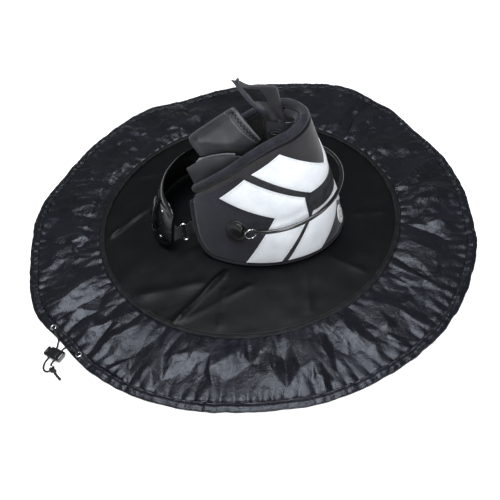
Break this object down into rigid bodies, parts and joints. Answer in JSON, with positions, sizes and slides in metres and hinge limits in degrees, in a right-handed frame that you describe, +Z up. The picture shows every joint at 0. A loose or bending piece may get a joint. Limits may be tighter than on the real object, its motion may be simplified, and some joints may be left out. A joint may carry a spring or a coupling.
{
  "type": "drawstring changing mat with waist harness",
  "caption": "Round drawstring changing-mat bag laid open flat, with a padded waist harness with rear rail, belly belts and front pad standing on it.",
  "frame": {"origin": "centre of the mat's flat underside", "axes": "+Z up; -Y is the way the harness's back faces, +Y its open front; X = 0 is the harness's mirror plane"},
  "size_m": [1.0162, 0.9993, 0.358],
  "materials": {
    "tarpaulin": "coated tarpaulin, broad soft sheen",
    "seam_band": "woven tape, two rows of stitching",
    "skirt_nylon": "thin coated nylon, crinkled and shiny",
    "cord": "braided cord, matt",
    "bright_steel": "polished",
    "gloss_black": "glossy",
    "neoprene": "knit-faced neoprene, matt",
    "lining": "padded knit, matt",
    "binding": "rolled neoprene binding",
    "white_panel": "coated synthetic leather, satin",
    "dark_tape": "fine ribbed tape",
    "badge_white": "satin",
    "rubber": "moulded, satin",
    "smooth_skin": "smooth-skin neoprene, satin",
    "thread": "thick thread",
    "hook_loop": "hook-and-loop pile",
    "gloss_pad": "glossy coated pad",
    "webbing": "woven webbing"
  },
  "bodies": {
    "mat": {"base_disc": "tarpaulin", "seam_tape": "seam_band", "skirt": "skirt_nylon", "hem_casing": "skirt_nylon", "drawcord_in_hem": "cord", "eyelet_a": "bright_steel", "eyelet_b": "bright_steel", "drawcord_loop": "cord", "drawcord_short": "cord", "cord_knot": "cord", "cord_tail": "cord"},
    "cord_lock": {"lock_barrel": "gloss_black", "lock_spring": "bright_steel"},
    "lock_button": {"lock_plunger": "gloss_black"},
    "ring": {"rail_ring": "bright_steel"},
    "near_flap": {"near_belt_end": "smooth_skin", "zigzag_seam": "thread"},
    "far_flap": {"far_belt_end": "smooth_skin", "hook_loop_patch": "hook_loop"},
    "pad": {"front_pad": "gloss_pad", "pad_strap_loop": "gloss_pad", "pad_webbing_left": "webbing", "pad_rivet_low": "bright_steel", "pad_rivet_high": "bright_steel"},
    "harness": {"outer_shell": "neoprene", "lumbar_lining": "lining", "top_rim": "binding", "foot_rim": "binding", "panel_upper": "white_panel", "panel_left": "white_panel", "panel_right": "white_panel", "panel_lower": "white_panel", "tape_upper_left": "dark_tape", "tape_upper_right": "dark_tape", "tape_lower_left": "dark_tape", "tape_lower_right": "dark_tape", "centre_band": "dark_tape", "badge": "badge_white", "boot_left": "rubber", "boot_right": "rubber", "rail_tube": "gloss_black", "near_belt": "smooth_skin", "near_belt_fold": "smooth_skin", "far_belt": "smooth_skin", "slot_tab": "smooth_skin", "buckle_left": "bright_steel", "buckle_right": "bright_steel", "wing_webbing_left": "webbing", "wing_webbing_right": "webbing"}
  },
  "joints": [
    {"name": "harness_lift", "type": "slide", "parent": "mat", "child": "harness", "axis": [0, 0, 1], "range_m": [0, 0.4]},
    {"name": "ring_travel", "type": "hinge", "parent": "harness", "child": "ring", "pos_m": [0, -0.07, 0.106], "axis": [0, 0.162, 0.9868], "range_deg": [0, 192]},
    {"name": "cord_lock_slide", "type": "slide", "parent": "mat", "child": "cord_lock", "axis": [-0.9703, 0.2421, 0], "range_m": [0, 0.007]},
    {"name": "lock_press", "type": "slide", "parent": "cord_lock", "child": "lock_button", "axis": [-0.2421, -0.9703, 0], "range_m": [0, 0.003], "stiffness_N_per_m": 800, "deforming": ["lock_spring"]},
    {"name": "near_flap_fold", "type": "hinge", "parent": "harness", "child": "near_flap", "pos_m": [-0.02, 0, 0.184], "axis": [0, 1, 0], "range_deg": [-20, 0]},
    {"name": "far_flap_fold", "type": "hinge", "parent": "harness", "child": "far_flap", "pos_m": [0.011, 0, 0.27], "axis": [0, 1, 0], "range_deg": [0, 60]},
    {"name": "pad_swing", "type": "hinge", "parent": "harness", "child": "pad", "pos_m": [-0.1202, 0.1105, 0.05], "axis": [0, 0, 1], "range_deg": [0, 60]}
  ]
}
